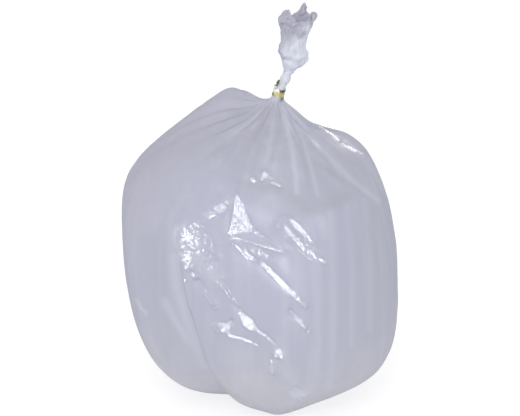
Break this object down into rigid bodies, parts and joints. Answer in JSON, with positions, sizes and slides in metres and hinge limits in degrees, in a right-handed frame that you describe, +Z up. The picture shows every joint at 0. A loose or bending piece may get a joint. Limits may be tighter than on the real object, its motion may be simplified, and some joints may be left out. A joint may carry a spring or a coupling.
{
  "type": "tied bin liner",
  "caption": "Air-filled thin film bin liner on a flattened foot, gathered into a leaning neck, closed by a twist tie under a crumpled open end.",
  "frame": {"origin": "middle of the flat patch that the bag stands on, at floor level", "axes": "+Z up, +X to the right as seen from the front, so the neck leans towards +X, and -Y towards the front"},
  "size_m": [0.3801, 0.3569, 0.5387],
  "materials": {
    "film": "translucent milky film, glossy",
    "foil_tie": "metallic gold and green laminate"
  },
  "bodies": {
    "root": {"bag": "film", "twist_tie": "foil_tie"}
  },
  "joints": []
}
